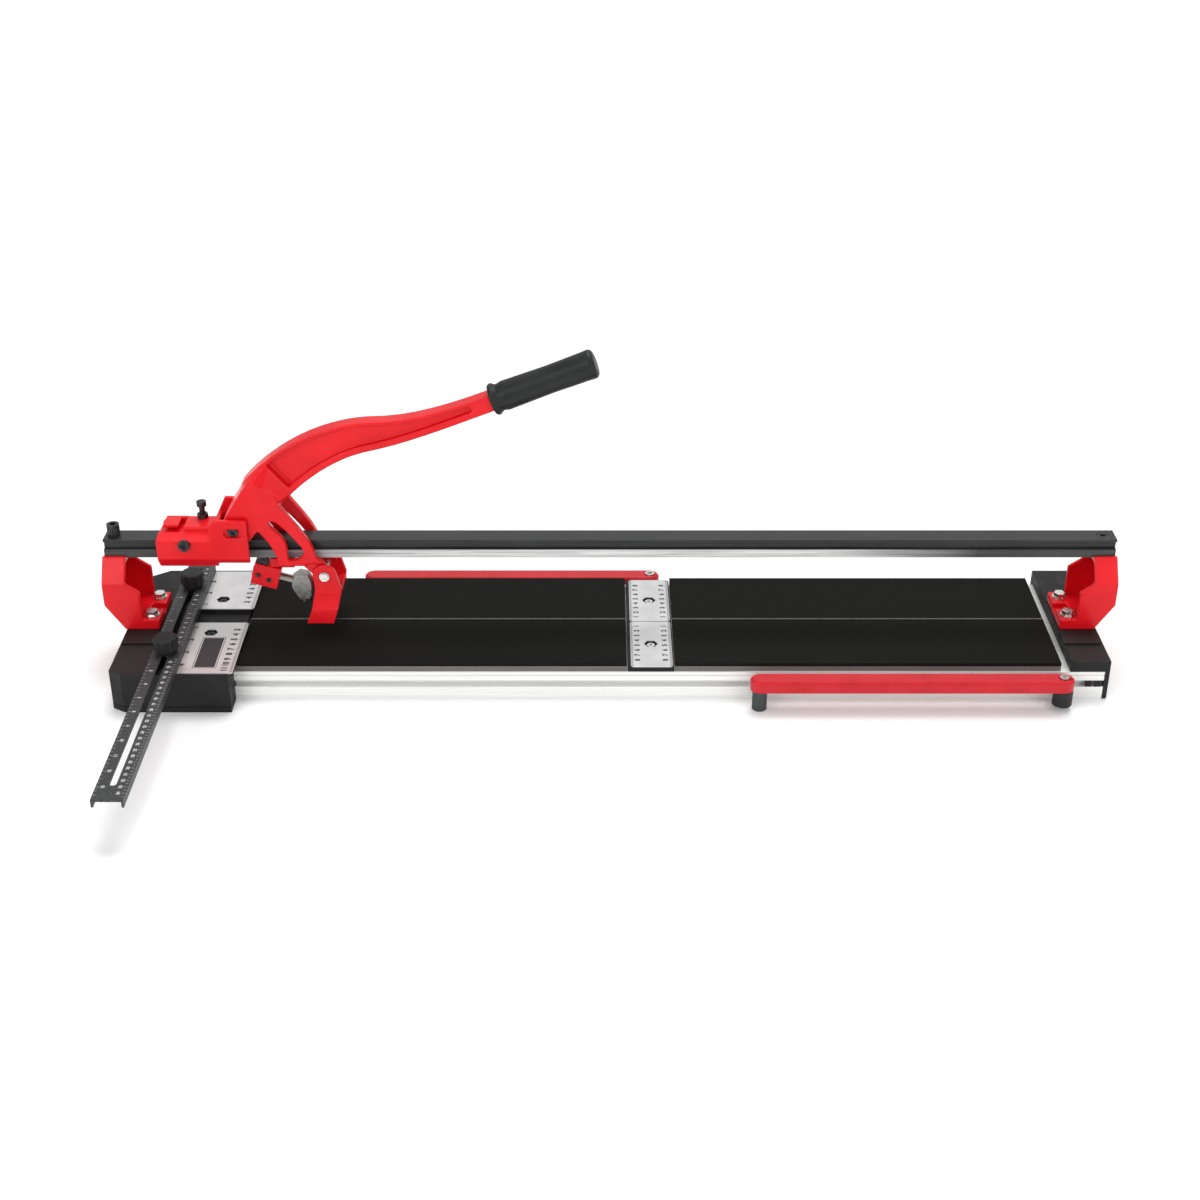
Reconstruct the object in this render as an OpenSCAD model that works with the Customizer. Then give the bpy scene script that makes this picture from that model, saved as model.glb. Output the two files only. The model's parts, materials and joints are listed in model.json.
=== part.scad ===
// Manual tile cutter: aluminium bed, overhead guide rail, sliding cutting carriage with a lever handle,
// sliding fence rule and two swing-out tile supports.
// +X runs along the rail, +Y to the back, +Z up. The origin is on the bench under the middle of the rail.

/* [Rail] */
// Length of the guide rail
rail_length = 1041; // [1036:1:1050]
// Width of the rail's flanges
rail_width = 22.5; // [21:0.5:23]
// Height of the rail's underside above the bench
rail_bottom = 120; // [119:0.5:121]
// Height of the rail section
rail_height = 20; // [19.5:0.1:20.2]
// Depth of the recess in each side of the rail
rail_recess = 4; // [2:0.5:6]

/* [Base] */
// Left end of the aluminium extrusion along X
base_left = -382; // [-382:1:-382]
// Length of the aluminium extrusion
base_length = 884; // [880:1:884]
// Depth of the extrusion, front to back
base_depth = 188; // [186:1:190]
// Height of the extrusion
base_height = 32; // [30:0.5:33]
// Wall thickness of the extrusion
base_wall = 3; // [2.5:0.1:4]
// Height of the T-slot's mouth
slot_mouth = 7.5; // [6.5:0.5:8]

/* [Tile bed] */
// Thickness of the carrier boards
board_thickness = 5.5; // [4.5:0.5:6.5]
// Thickness of the rubber pads
pad_thickness = 3.5; // [2.5:0.5:4]
// Distance from the breaking ridge to the outer edge of the boards
bed_half_depth = 92; // [88:1:93]
// Thickness of the breaking ridge
ridge_thickness = 2; // [1.5:0.1:3]
// Length of the gap that the middle scale sits in
scale_gap = 49; // [47:1:52]

/* [Scale plates] */
// Thickness of the printed metal scale plates
plate_thickness = 1; // [0.8:0.1:1.5]
// Corner radius of the hexagonal bolt windows in the scale plates
window_r = 7.4; // [6.8:0.1:8]

/* [End blocks] */
// Height of the left end block
block_height = 44; // [43.5:0.5:44]
// Height of the right end cap
cap_height = 44; // [42:1:44]
// Wall thickness of the moulded blocks
block_wall = 5; // [4:0.5:6]

/* [Fence] */
// Width of the fence rule
fence_width = 29.5; // [28:0.5:31]
// Length of the fence rule
fence_length = 451; // [440:1:460]
// Height of the fence's channel section
fence_height = 8; // [7:0.5:9]
// Width of the fence's slot
fence_slot = 6.5; // [6.2:0.1:8]
// Diameter of the clamp knobs
knob_d = 25; // [22:1:27]
// Height of the clamp knobs
knob_height = 18; // [14:1:20]

/* [Support arms] */
// Length of a support arm between its pivot and its foot
arm_reach = 306; // [280:1:320]
// Width of a support arm
arm_width = 20; // [19:0.5:20]
// Height of a support arm's channel section
arm_height = 13; // [11:0.5:14]
// Wall thickness of a support arm
arm_wall = 2; // [1.5:0.1:3]

/* [Carriage] */
// Width of the carriage casting, front to back
carriage_width = 56; // [54:1:58]
// Height of the handle's pivot above the bench
pivot_z = 155; // [155:0.5:156]
// Diameter of the handle's pivot pin
pivot_pin_d = 10; // [8:0.5:11]

/* [Handle] */
// Thickness of the handle's arm
handle_thickness = 19; // [17:0.5:20]
// Distance between the outer faces of the fork's legs
fork_width = 44; // [43:0.5:44.5]
// Distance between the inner faces of the fork's legs
fork_gap = 28; // [27:0.5:30]
// Slope of the grip in degrees
grip_angle = 21; // [18:0.5:22]
// Length of the rubber grip
grip_length = 110; // [100:1:120]
// Diameter of the rubber grip
grip_d = 30; // [26:1:32]

/* [Cutting head] */
// Diameter of the cutting wheel
wheel_d = 14; // [12:1:16]
// Thickness of the cutting wheel
wheel_width = 2; // [1.5:0.1:2.5]
// Height of the cutting wheel's axle above the bench, at rest
wheel_z = 68; // [67:0.5:69]
// Distance from the ridge to the outer edge of each breaker wing
wing_reach = 38; // [34:1:40]

/* [Hidden] */

$fn = 64;
eps = 0.01;                      // overshoot of a cut through a face
run_gap = 0.05;                  // radial running clearance of pins
red = [0.80, 0.05, 0.07];
black = [0.08, 0.08, 0.085];
steel = [0.72, 0.72, 0.73];
dark_steel = [0.30, 0.30, 0.31];
silver = [0.85, 0.85, 0.86];

// Base and bed
base_right = base_left + base_length;
base_half = base_depth / 2;
board_top = base_height + board_thickness;
pad_top = board_top + pad_thickness;
ridge_top = pad_top + 0.4;
bed_left = base_left + 3.6;
bed_right = base_right - 44.6;
scale_x = 42.5;                  // middle of the centre scale
gap_left = scale_x - scale_gap / 2 - 1;
gap_right = scale_x + scale_gap / 2 - 1;
slot_z = 18.2;                   // height of the T-slots' centre line
slot_depth = 6.5;
slot_well = 11.5;                // height of the T-slot behind its lips
slot_lip = 2.2;
groove_z = 28;                   // height of the shallow groove along the extrusion's sides
groove = [1.6, 1.2];
m6_r = 3;                        // radius of the 6 mm screws

// Left end block and scale plates
block_left = -503;
cap_left = 467;
cap_right = base_right + block_wall;
block_front = -120;
block_back = 104;
step_height = 2;                 // raised pad under the left bracket
plate_z = block_height;
plate_left = -440;
plate_right = -378;
window_x = -414;
window_y = 36;
center_window_y = 47;
center_block_top = pad_top - 4;
center_plate_half = 21.2;        // half width of the middle scale's plates
window_seat = 3;                 // depth of the bolts' seats in the blocks

// Fence
fence_x = -448;
fence_front = -351;
fence_z = plate_z + plate_thickness + 0.2;
fence_top = fence_z + fence_height;
fence_skin = 2;
fence_slot_front = -328;
fence_slot_back = 92;
stud_foot = 12;                  // height of the studs' lower ends, inside the block
knob_y = [-90, 50];

// Brackets
bracket_x = 522.5;               // outer edge of a bracket
bracket_foot_z = block_height + step_height;
bracket_foot = 11;               // thickness of the foot
bracket_wall = 4;
bracket_half = 31;
bracket_neck = 14;
bracket_crease = 98.5;
bolt_x = 477;
bolt_y = 19.5;
bolt_shaft_r = 3.5;
stop_screw_x = -511;             // screws that hold the rail's ends
end_screw_x = 508;
rail_screw_r = 4;
end_screw_seat = 3;              // depth of the right screw's countersink

// Support arms
arm_y = 112;
front_pivot_x = 457;
rear_pivot_x = 45;
arm_z = 23;
arm_post_r = 10;
pivot_screw_r = 3;
screw_seat = 3;                  // depth of the pivot screw's seat in an arm
foot_plug = 4;                   // how far a foot's plug reaches into an arm

// Carriage
pivot_x = -383;
rail_top = rail_bottom + rail_height;
carriage_left = -462;
carriage_mid = -436;             // left end of the ridge along the carriage's top
carriage_right = -368;
carriage_top = 155;
ridge_y = [-12.5, 16];           // front and back of that ridge
cheek = 5;                       // thickness of the cheeks around the handle's hub
cheek_left = -402;               // where the hollow for the handle starts
rail_play = 1.5;                 // gap between the carriage's bore and the rail
roller_r = 3;
roller_width = 12;
roller_lift = 0.3;               // running gap between the guide rollers and the rail
roller_z = rail_top + roller_r + roller_lift;
roller_x = [-449, -419];
roller_pin_r = 1.2;
roller_pin_half = 12;
side_screw = [-433, 142.8];      // X and Z of the cap screw on the front
side_screw_r = 2.5;
oval_half = 5;                   // half height of the pivot pin's oval window
oval_shift = 4;                  // from the middle of that window to each end's centre
stop_bolt = [-420, 11];          // X and Y of the bolt that the crown comes down on
stop_bolt_foot = 150;
stop_bolt_head = 168.5;

// Handle
hub_r = 13;
leg_thickness = (fork_width - fork_gap) / 2;
leg_bottom = 115;
crown_bottom = rail_top + 3;
rim = 3.5;                       // thickness of the arm's upper rim; the lower one is twice that
pocket_depth = 6;
crossbar_low = 107;              // underside of the bar that joins the legs below the rail
tongue_left = -351.5;            // left end of the pad that the wheel-holder block hangs from
grip_foot = [-117, 290];         // X and Z where the grip starts
spigot_r = 8;
foot_pivot = [-294, 103.5];      // X and Z of the breaker foot's bolt
lug_r = 9;
ear_r = 12.5;
ear_gap = 0.3;
ear_thickness = 4;

// Cutting head
head_x = -357;                   // middle of the wheel-holder block
head_z = 96.5;
head_tilt = 16;
head_size = [28, 18, 24];
holder_arm_r = 5;
wheel_x = -319;
axle_r = 2;
keeper_x = -358.5;
keeper_z = 113.5;
keeper_r = 5.5;
keeper_in = 2.7;                 // inner face of each keeper roller
keeper_out = 7;                  // outer face of each keeper roller
keeper_pin_r = 2;
set_screws = [[-8, -0.5], [4, -3.5]]; // set screws in the tilted frame of the wheel-holder block
set_screw_r = 2.5;
wing_slope_top = 85;
wing_slope_bottom = 73;
wing_tip = 57;
wing_left = -313;
wing_right = -285;

// ---- helpers -------------------------------------------------------------------------------------------

// An outline drawn in Y and Z, run along X
module along_x(x0, x1) {
    translate([x0, 0, 0]) rotate([90, 0, 90]) linear_extrude(x1 - x0) children();
}

// An outline drawn in X and Z, run along Y
module along_y(y0, y1) {
    translate([0, y1, 0]) rotate([90, 0, 0]) linear_extrude(y1 - y0) children();
}

// A round bar along Y
module bar_y(x, z, r, y0, y1) {
    translate([x, y1, z]) rotate([90, 0, 0]) cylinder(h = y1 - y0, r = r);
}

// A block from one corner to the opposite one
module block(low, high) {
    translate(low) cube(high - low);
}

// A hexagonal prism with a round washer face under it
module hex_head(r, h, flange_r = 0, flange_h = 1.2) {
    cylinder(h = h, r = r, $fn = 6);
    if (flange_r > 0) cylinder(h = flange_h, r = flange_r);
}

// A socket-cap screw head, its hexagonal socket facing up
module cap_head(r, h, socket_r) {
    difference() {
        cylinder(h = h, r = r);
        translate([0, 0, h * 0.45]) cylinder(h = h, r = socket_r, $fn = 6);
    }
}

// Points of a circular arc
function arc(c, r, a0, a1, n = 12) = [
    for (i = [0 : n]) let (a = a0 + (a1 - a0) * i / n) c + r * [cos(a), sin(a)]
];

// A point on a cubic Bezier curve, and the unit normal there
function bez(p, t) =
    pow(1 - t, 3) * p[0] + 3 * t * pow(1 - t, 2) * p[1] + 3 * t * t * (1 - t) * p[2] + t * t * t * p[3];
function bez_slope(p, t) =
    3 * pow(1 - t, 2) * (p[1] - p[0]) + 6 * t * (1 - t) * (p[2] - p[1]) + 3 * t * t * (p[3] - p[2]);
function normal(v) = [-v[1], v[0]] / norm(v);

// ---- base ----------------------------------------------------------------------------------------------

module t_slot() {
    translate([base_half - slot_depth, slot_z - slot_mouth / 2]) square([slot_depth + 1, slot_mouth]);
    translate([base_half - slot_depth, slot_z - slot_well / 2]) square([slot_depth - slot_lip, slot_well]);
}

module base_outline() {
    chambers = 5;
    inner = base_depth - 2 * (slot_depth + base_wall);
    pitch = (inner + base_wall) / chambers;
    difference() {
        translate([-base_half, 0]) square([base_depth, base_height]);
        for (side = [0, 1]) mirror([side, 0]) t_slot();
        for (side = [-1, 1]) translate([side * base_half, groove_z]) square(groove, center = true);
        for (i = [0 : chambers - 1])
            translate([-inner / 2 + i * pitch, base_wall])
                square([pitch - base_wall, base_height - 2 * base_wall]);
    }
}

module base_extrusion() {
    hole_z = base_height - base_wall - 1;
    color(silver) difference() {
        along_x(base_left, base_right) base_outline();
        for (side = [-1, 1]) {
            translate([scale_x, side * center_window_y, hole_z]) cylinder(h = base_wall + 2, r = m6_r);
            translate([bolt_x, side * bolt_y, hole_z]) cylinder(h = base_wall + 2, r = bolt_shaft_r);
        }
    }
}

module breaking_ridge(x0, x1) {
    half = ridge_thickness / 2;
    color(steel) block([x0, -half, base_height], [x1, half, ridge_top]);
}

// One board or pad: side is -1 at the front and 1 at the back
module bed_panel(x0, x1, side, z0, z1) {
    inner = ridge_thickness / 2;
    y0 = side > 0 ? inner : -bed_half_depth;
    y1 = side > 0 ? bed_half_depth : -inner;
    block([x0, y0, z0], [x1, y1, z1]);
}

module board(x0, x1, side) {
    color([0.42, 0.38, 0.34]) bed_panel(x0, x1, side, base_height, board_top);
}

module pad(x0, x1, side) {
    color(black) bed_panel(x0, x1, side, board_top, pad_top);
}

// ---- scale plates --------------------------------------------------------------------------------------

module center_scale_block() {
    color(black) difference() {
        block([gap_left + 1, -base_half + 1, base_height], [gap_right - 1, base_half - 1, center_block_top]);
        for (side = [-1, 1]) translate([scale_x, side * center_window_y, 0]) {
            translate([0, 0, center_block_top - window_seat])
                cylinder(h = window_seat + 1, r = window_r, $fn = 6);
            cylinder(h = center_block_top, r = m6_r);
        }
    }
}

// A thin plate with rounded corners and one hexagonal window
module scale_plate(low, high, z, window, corner = 3) {
    color(silver) difference() {
        translate([0, 0, z]) linear_extrude(plate_thickness) union() {
            translate([low[0] + corner, low[1]]) square([high[0] - low[0] - 2 * corner, high[1] - low[1]]);
            translate([low[0], low[1] + corner]) square([high[0] - low[0], high[1] - low[1] - 2 * corner]);
            for (x = [low[0] + corner, high[0] - corner], y = [low[1] + corner, high[1] - corner])
                translate([x, y]) circle(r = corner);
        }
        translate([window[0], window[1], z - 1]) cylinder(h = plate_thickness + 2, r = window_r, $fn = 6);
    }
}

module center_scale(side) {
    y = [side * 0.6, side * (base_half - 1)];
    scale_plate(
        [scale_x - center_plate_half, min(y)], [scale_x + center_plate_half, max(y)],
        center_block_top, [scale_x, side * center_window_y]
    );
}

// A socket bolt whose small head sits down inside a scale plate's window
module window_bolt(x, y, z, shaft) {
    translate([x, y, z]) cap_head(4.2, 2.6, 1.9);
    translate([x, y, z - shaft]) cylinder(h = shaft, r = m6_r - run_gap);
}

module center_scale_bolts() {
    seat_z = center_block_top - window_seat;
    below_skin = 6;
    color(steel) for (side = [-1, 1])
        window_bolt(scale_x, side * center_window_y, seat_z, seat_z - base_height + below_skin);
}

// ---- left end block ------------------------------------------------------------------------------------

module left_block_outline(inset = 0) {
    polygon([
        [block_left + inset, block_front + 8],
        [block_left + 13, block_front + inset],
        [base_left - inset, block_front + inset],
        [base_left - inset, block_back - inset],
        [block_left + 19, block_back - inset],
        [block_left + inset, block_back - 14]
    ]);
}

module left_end_block() {
    seam = 6;
    rib_y = [-62, 0, 52];
    boss_r = 8;
    channel_half = 15;
    channel_depth = 5;
    pocket_depth = block_height - block_wall - 4;
    color(black) difference() {
        union() {
            linear_extrude(seam) left_block_outline();
            translate([0, 0, seam]) linear_extrude(1) left_block_outline(0.7);
            translate([0, 0, seam + 1]) linear_extrude(block_height - seam - 1) left_block_outline();
            block([block_left + 1, -60, block_height - 1], [-466, 46, bracket_foot_z]);
        }
        // hollow underside, with ribs and bosses left between the pockets
        difference() {
            translate([0, 0, -1]) linear_extrude(pocket_depth + 1) left_block_outline(block_wall);
            for (y = rib_y) block([block_left, y - 2, -2], [base_left, y + 2, block_height]);
            for (y = knob_y) translate([fence_x, y, -2]) cylinder(h = block_height, r = boss_r);
            for (side = [-1, 1])
                translate([-bolt_x, side * bolt_y, -2]) cylinder(h = block_height, r = boss_r);
        }
        // channel between the scale plates
        block([plate_left, -channel_half, block_height - channel_depth],
              [base_left + 1, channel_half, block_height + 1]);
        for (y = knob_y) translate([fence_x, y, stud_foot]) cylinder(h = block_height, r = m6_r + run_gap);
        for (side = [-1, 1]) {
            translate([-bolt_x, side * bolt_y, 16]) cylinder(h = block_height, r = bolt_shaft_r);
            translate([window_x, side * window_y, block_height - window_seat])
                cylinder(h = window_seat + 1, r = window_r, $fn = 6);
            translate([window_x, side * window_y, 20]) cylinder(h = block_height, r = m6_r);
        }
    }
}

module left_scale_front() {
    scale_plate([plate_left, -118], [plate_right, -15], plate_z, [window_x, -window_y]);
}

module left_scale_rear() {
    scale_plate([plate_left, 15], [plate_right, 100], plate_z, [window_x, window_y]);
}

module left_scale_bolts() {
    color(steel) for (side = [-1, 1]) window_bolt(window_x, side * window_y, block_height - window_seat, 12);
}

// ---- right end cap -------------------------------------------------------------------------------------

module right_end_cap() {
    color(black) difference() {
        union() {
            block([cap_left, -base_half, base_height], [cap_right, block_back, cap_height]);
            block([base_right, -base_half, 1], [cap_right, block_back, cap_height]);
            block([cap_left, base_half, 4], [cap_right, block_back, cap_height]);
            block([cap_left, -60, cap_height - 1], [cap_right - 3, 46, bracket_foot_z]);
        }
        for (side = [-1, 1])
            translate([bolt_x, side * bolt_y, base_height - 1]) cylinder(h = 30, r = bolt_shaft_r);
    }
}

// ---- rail and brackets ---------------------------------------------------------------------------------

module rail_outline() {
    half = rail_width / 2;
    web = half - rail_recess;
    top_lip = 2.5;
    low_lip = 9;
    polygon([
        [-half, 0], [half, 0], [half, low_lip - 1], [half - 1, low_lip],
        [web, low_lip], [web, rail_height - top_lip - 1.5], [half, rail_height - top_lip],
        [half, rail_height], [-half, rail_height], [-half, rail_height - top_lip],
        [-web, rail_height - top_lip - 1.5], [-web, low_lip], [1 - half, low_lip], [-half, low_lip - 1]
    ]);
}

module rail() {
    color(dark_steel) difference() {
        along_x(-rail_length / 2, rail_length / 2) translate([0, rail_bottom]) rail_outline();
        for (x = [stop_screw_x, end_screw_x])
            translate([x, 0, rail_bottom - 1]) cylinder(h = rail_height + 2, r = rail_screw_r);
        translate([end_screw_x, 0, rail_top - end_screw_seat]) cylinder(h = end_screw_seat + 1, r = 7);
    }
}

// Side view of the left bracket: outer edge, foot, then the inner edge
module bracket_side(inset = 0) {
    polygon([
        [-bracket_x + inset, rail_bottom + 2 + inset], [-bracket_x + inset, 74],
        [-503.5 + inset, bracket_foot_z - inset * 0.3], [-467.7, bracket_foot_z - inset * 0.3],
        [-467.7, bracket_foot_z + bracket_foot], [-484.5, bracket_foot_z + bracket_foot],
        [-484.5, 89], [-498.5, bracket_crease], [-498.5, rail_bottom + 2 + inset]
    ]);
}

// Front view of a bracket: straight up to the crease, then drawn in to the rail
module bracket_front(inset = 0) {
    w = bracket_half - inset;
    n = bracket_neck - inset;
    top = rail_bottom + 3;
    polygon([[-w, 30], [w, 30], [w, bracket_crease], [n, top], [-n, top], [-w, bracket_crease]]);
}

// A bracket as it stands at the left end: screw_x is the distance from the middle to the rail's screw
module rail_bracket(screw_x) {
    top_plate = 5;
    groove_half = 6;
    color(red) difference() {
        intersection() {
            along_y(-bracket_half, bracket_half) bracket_side();
            along_x(-530, -460) bracket_front();
        }
        // hollow between the side plates, open towards the bed
        intersection() {
            along_y(-bracket_half + bracket_wall, bracket_half - bracket_wall) polygon([
                [-bracket_x + bracket_wall, rail_bottom - top_plate], [-bracket_x + bracket_wall, 75],
                [-505, bracket_foot_z + bracket_foot], [-460, bracket_foot_z + bracket_foot],
                [-460, rail_bottom - top_plate]
            ]);
            along_x(-530, -450) bracket_front(bracket_wall);
        }
        // saddle for the rail and the groove between the bolt pads
        block([-530, -rail_width / 2 - 0.1, rail_bottom], [-490, rail_width / 2 + 0.1, rail_bottom + 5]);
        block([-482, -groove_half, bracket_foot_z + 4], [-460, groove_half, bracket_foot_z + 20]);
        translate([-screw_x, 0, rail_bottom - 10]) cylinder(h = 20, r = rail_screw_r);
        for (side = [-1, 1])
            translate([-bolt_x, side * bolt_y, bracket_foot_z - 1]) cylinder(h = 20, r = bolt_shaft_r);
    }
}

// Flanged hexagon bolts that hold a bracket down
module bracket_bolts(x, shaft) {
    color(steel) for (side = [-1, 1]) translate([x, side * bolt_y, bracket_foot_z + bracket_foot]) {
        hex_head(6, 5.5, 7.4);
        translate([0, 0, -shaft]) cylinder(h = shaft, r = bolt_shaft_r - run_gap);
    }
}

module rail_stop_screw() {
    knurls = 18;
    color(black) difference() {
        union() {
            translate([stop_screw_x, 0, rail_top]) cap_head(6.5, 13, 3.5);
            translate([stop_screw_x, 0, rail_bottom - 8])
                cylinder(h = rail_height + 8, r = rail_screw_r - run_gap);
        }
        for (i = [0 : knurls - 1]) translate([stop_screw_x, 0, rail_top + 1.5]) rotate(i * 360 / knurls)
            translate([6.7, 0, 0]) cylinder(h = 9.5, r = 0.6, $fn = 16);
    }
}

module rail_end_screw() {
    color(dark_steel) {
        translate([end_screw_x, 0, rail_top - end_screw_seat]) cap_head(6.9, 2.8, 3);
        translate([end_screw_x, 0, rail_bottom - 8])
            cylinder(h = rail_height + 8 - end_screw_seat, r = rail_screw_r - run_gap);
    }
}

module slot_plugs() {
    plug = 6;
    color(black) for (x = [base_right - 18, base_right - 3 - plug])
        block([x, -base_half, slot_z - slot_mouth / 2],
              [x + plug, -base_half + slot_lip, slot_z + slot_mouth / 2]);
}

// ---- fence ---------------------------------------------------------------------------------------------

module fence_rule() {
    half = fence_width / 2;
    fence_back = fence_front + fence_length;
    slot_half = fence_slot / 2;
    slot_front = fence_slot_front + slot_half;
    slot_back = fence_slot_back - slot_half;
    color(black) difference() {
        block([fence_x - half, fence_front, fence_z], [fence_x + half, fence_back, fence_top]);
        block([fence_x - half + fence_skin, fence_front - 1, fence_z - 1],
              [fence_x + half - fence_skin, fence_back + 1, fence_top - fence_skin]);
        block([fence_x - slot_half, slot_front, fence_z], [fence_x + slot_half, slot_back, fence_top + 1]);
        for (y = [slot_front, slot_back])
            translate([fence_x, y, fence_z]) cylinder(h = fence_height + 1, r = slot_half);
    }
}

module fence_knob(y) {
    flutes = 10;
    r = knob_d / 2;
    color(black) translate([fence_x, y, fence_top]) difference() {
        rotate_extrude() polygon(concat(
            [[0, 0], [r - 3, 0], [r - 3, 3], [r, 4.5]],
            arc([r - 3, knob_height - 3], 3, 0, 90, 6),
            [[0, knob_height]]
        ));
        for (i = [0 : flutes - 1]) rotate(i * 360 / flutes)
            translate([r + 2.2, 0, 4]) cylinder(h = knob_height, r = 3.2, $fn = 24);
        translate([0, 0, -1]) cylinder(h = knob_height - 4, r = m6_r + run_gap);
    }
}

module fence_studs() {
    in_knob = 11;
    color(steel) for (y = knob_y)
        translate([fence_x, y, stud_foot]) cylinder(h = fence_top + in_knob - stud_foot, r = m6_r);
}

// ---- swing-out support arms ----------------------------------------------------------------------------

module arm_outline(inset = 0) {
    r = arm_width / 2 - inset;
    translate([-arm_reach, -r]) square([arm_reach, 2 * r]);
    circle(r = r);
    translate([-arm_reach, 0]) circle(r = r);
}

// A pressed channel with a crowned top, placed with its pivot at the given point
module support_arm(x, y) {
    r = arm_width / 2;
    pocket_inset = r + 5;
    seat_r = 5.8;
    color(red) translate([x, y, arm_z]) difference() {
        union() {
            linear_extrude(arm_height - 2) arm_outline();
            translate([0, 0, arm_height - 2]) linear_extrude(1) arm_outline(0.8);
            translate([0, 0, arm_height - 1]) linear_extrude(1) arm_outline(2);
        }
        // open channel underneath
        translate([-arm_reach + pocket_inset, -r + arm_wall, -1])
            cube([arm_reach - 2 * pocket_inset, 2 * (r - arm_wall), arm_height - arm_wall]);
        translate([0, 0, -1]) cylinder(h = arm_height + 2, r = pivot_screw_r + run_gap);
        translate([0, 0, arm_height - screw_seat]) cylinder(h = screw_seat + 1, r = seat_r);
        translate([-arm_reach, 0, -1]) cylinder(h = foot_plug + 1, r = pivot_screw_r);
    }
}

// Rubber foot under the free end of an arm
module arm_foot(x, y) {
    edge = 1;
    color(black) translate([x - arm_reach, y, 0]) {
        cylinder(h = edge, r = 6.8);
        translate([0, 0, edge]) cylinder(h = arm_z - edge, r = 7.5);
        translate([0, 0, arm_z]) cylinder(h = foot_plug, r = pivot_screw_r);
    }
}

// Post that carries an arm: side is -1 at the front and 1 at the back
module arm_post(x, side) {
    tongue = slot_mouth - 0.2;
    tongue_depth = slot_depth - 0.5;
    half = 8;
    color(black) difference() {
        union() {
            translate([x, side * arm_y, 6]) cylinder(h = arm_z - 6, r = arm_post_r);
            translate([x - half, side > 0 ? base_half : -arm_y, slot_z - 5])
                cube([2 * half, arm_y - base_half, 9.8]);
            translate([x - half, side > 0 ? base_half - tongue_depth : -base_half - eps, slot_z - tongue / 2])
                cube([2 * half, tongue_depth + eps, tongue]);
        }
        translate([x, side * arm_y, 8]) cylinder(h = arm_z, r = pivot_screw_r - 0.5);
    }
}

module pivot_screw(x, y) {
    color(steel) translate([x, y, 0]) {
        translate([0, 0, arm_z + arm_height - screw_seat]) cap_head(5.2, 4, 2.6);
        translate([0, 0, arm_z]) cylinder(h = arm_height - screw_seat, r = pivot_screw_r);
        translate([0, 0, 10]) cylinder(h = arm_z - 10, r = pivot_screw_r - 0.5);
    }
}

// ---- carriage ------------------------------------------------------------------------------------------

module slider_body() {
    half = carriage_width / 2;
    inner = half - cheek;
    bore = rail_width / 2 + rail_play;
    low = 114;
    bevel = 126;
    ledge = 146.5;
    deck = 149.5;
    chamfer = 1.5;
    slit_top = 151.5;
    tab = [-458, -442];
    tab_front = -6.5;
    tab_root = 12;
    slit_floor = 148;
    seat = 4;
    color(red) difference() {
        union() {
            // lower body, its shoulders sloping up to the ridge
            along_x(carriage_left, carriage_right) polygon([
                [-half + 9, low], [half - 9, low], [half, bevel], [half, ledge], [ridge_y[1], deck],
                [ridge_y[0], deck], [-half, ledge], [-half, bevel]
            ]);
            along_x(carriage_mid, cheek_left) polygon([
                [ridge_y[0], deck - 1], [ridge_y[1], deck - 1], [ridge_y[1], carriage_top - chamfer],
                [ridge_y[1] - chamfer, carriage_top], [ridge_y[0] + chamfer, carriage_top],
                [ridge_y[0], carriage_top - chamfer]
            ]);
            // clamping tab, held only along its back
            block([tab[0], tab_front, slit_top], [tab[1], ridge_y[1], carriage_top]);
            block([tab[0], tab_root, deck - 2], [carriage_mid + 1, ridge_y[1], carriage_top]);
            // wall in front of the hollow, the front cheek and the taller rear one
            block([-407, -half + 2, ledge - 1], [cheek_left, half - 1, carriage_top]);
            along_y(-half, -inner) polygon([
                [-407, ledge - 1], [carriage_right, ledge - 1], [carriage_right, 168], [-370, 169.5],
                [-399, 169.5], [-403.5, 167.5], [-406, 164], [-407, 158]
            ]);
            along_y(inner, half) polygon([
                [-411, ledge - 1], [carriage_right, ledge - 1], [carriage_right, 160],
                [-372, 168], [-390.5, 172], [-398.5, 172]
            ]);
        }
        // slit under the clamping tab and beside it
        block([carriage_left - 1, ridge_y[0] + 1, slit_floor], [tab[1], tab_root, slit_top]);
        block([tab[1], ridge_y[0] + 1, slit_floor], [carriage_mid, tab_root, carriage_top]);
        // passage for the rail
        block([-470, -bore, rail_bottom - rail_play], [-360, bore, rail_top + rail_play]);
        // hollow for the handle
        block([cheek_left, -inner, 100], [-360, inner, 180]);
        // room for the guide rollers
        for (x = roller_x) {
            block([x - roller_r - 1, -roller_width / 2 - 0.6, rail_top],
                  [x + roller_r + 1, roller_width / 2 + 0.6, roller_z + roller_r + 0.4]);
            bar_y(x, roller_z, roller_pin_r, -roller_pin_half, roller_pin_half);
        }
        // oval window over the pivot pin
        for (dx = [-oval_shift, oval_shift])
            bar_y(pivot_x + dx, pivot_z, oval_half, -half - 1, -half + seat);
        block([pivot_x - oval_shift, -half - 1, pivot_z - oval_half],
              [pivot_x + oval_shift, -half + seat, pivot_z + oval_half]);
        bar_y(pivot_x, pivot_z, pivot_pin_d / 2, -half + 1, half + 1);
        bar_y(side_screw[0], side_screw[1], side_screw_r, -half - 1, -bore - 1);
        translate([stop_bolt[0], stop_bolt[1], stop_bolt_foot - 0.5]) cylinder(h = 30, r = m6_r);
    }
}

module slider_side_screws() {
    front = -carriage_width / 2;
    thread = 10;
    color(black) {
        translate([side_screw[0], front, side_screw[1]]) rotate([90, 0, 0]) cap_head(6, 3.5, 3);
        bar_y(side_screw[0], side_screw[1], side_screw_r - run_gap, front, front + thread);
    }
}

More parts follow.
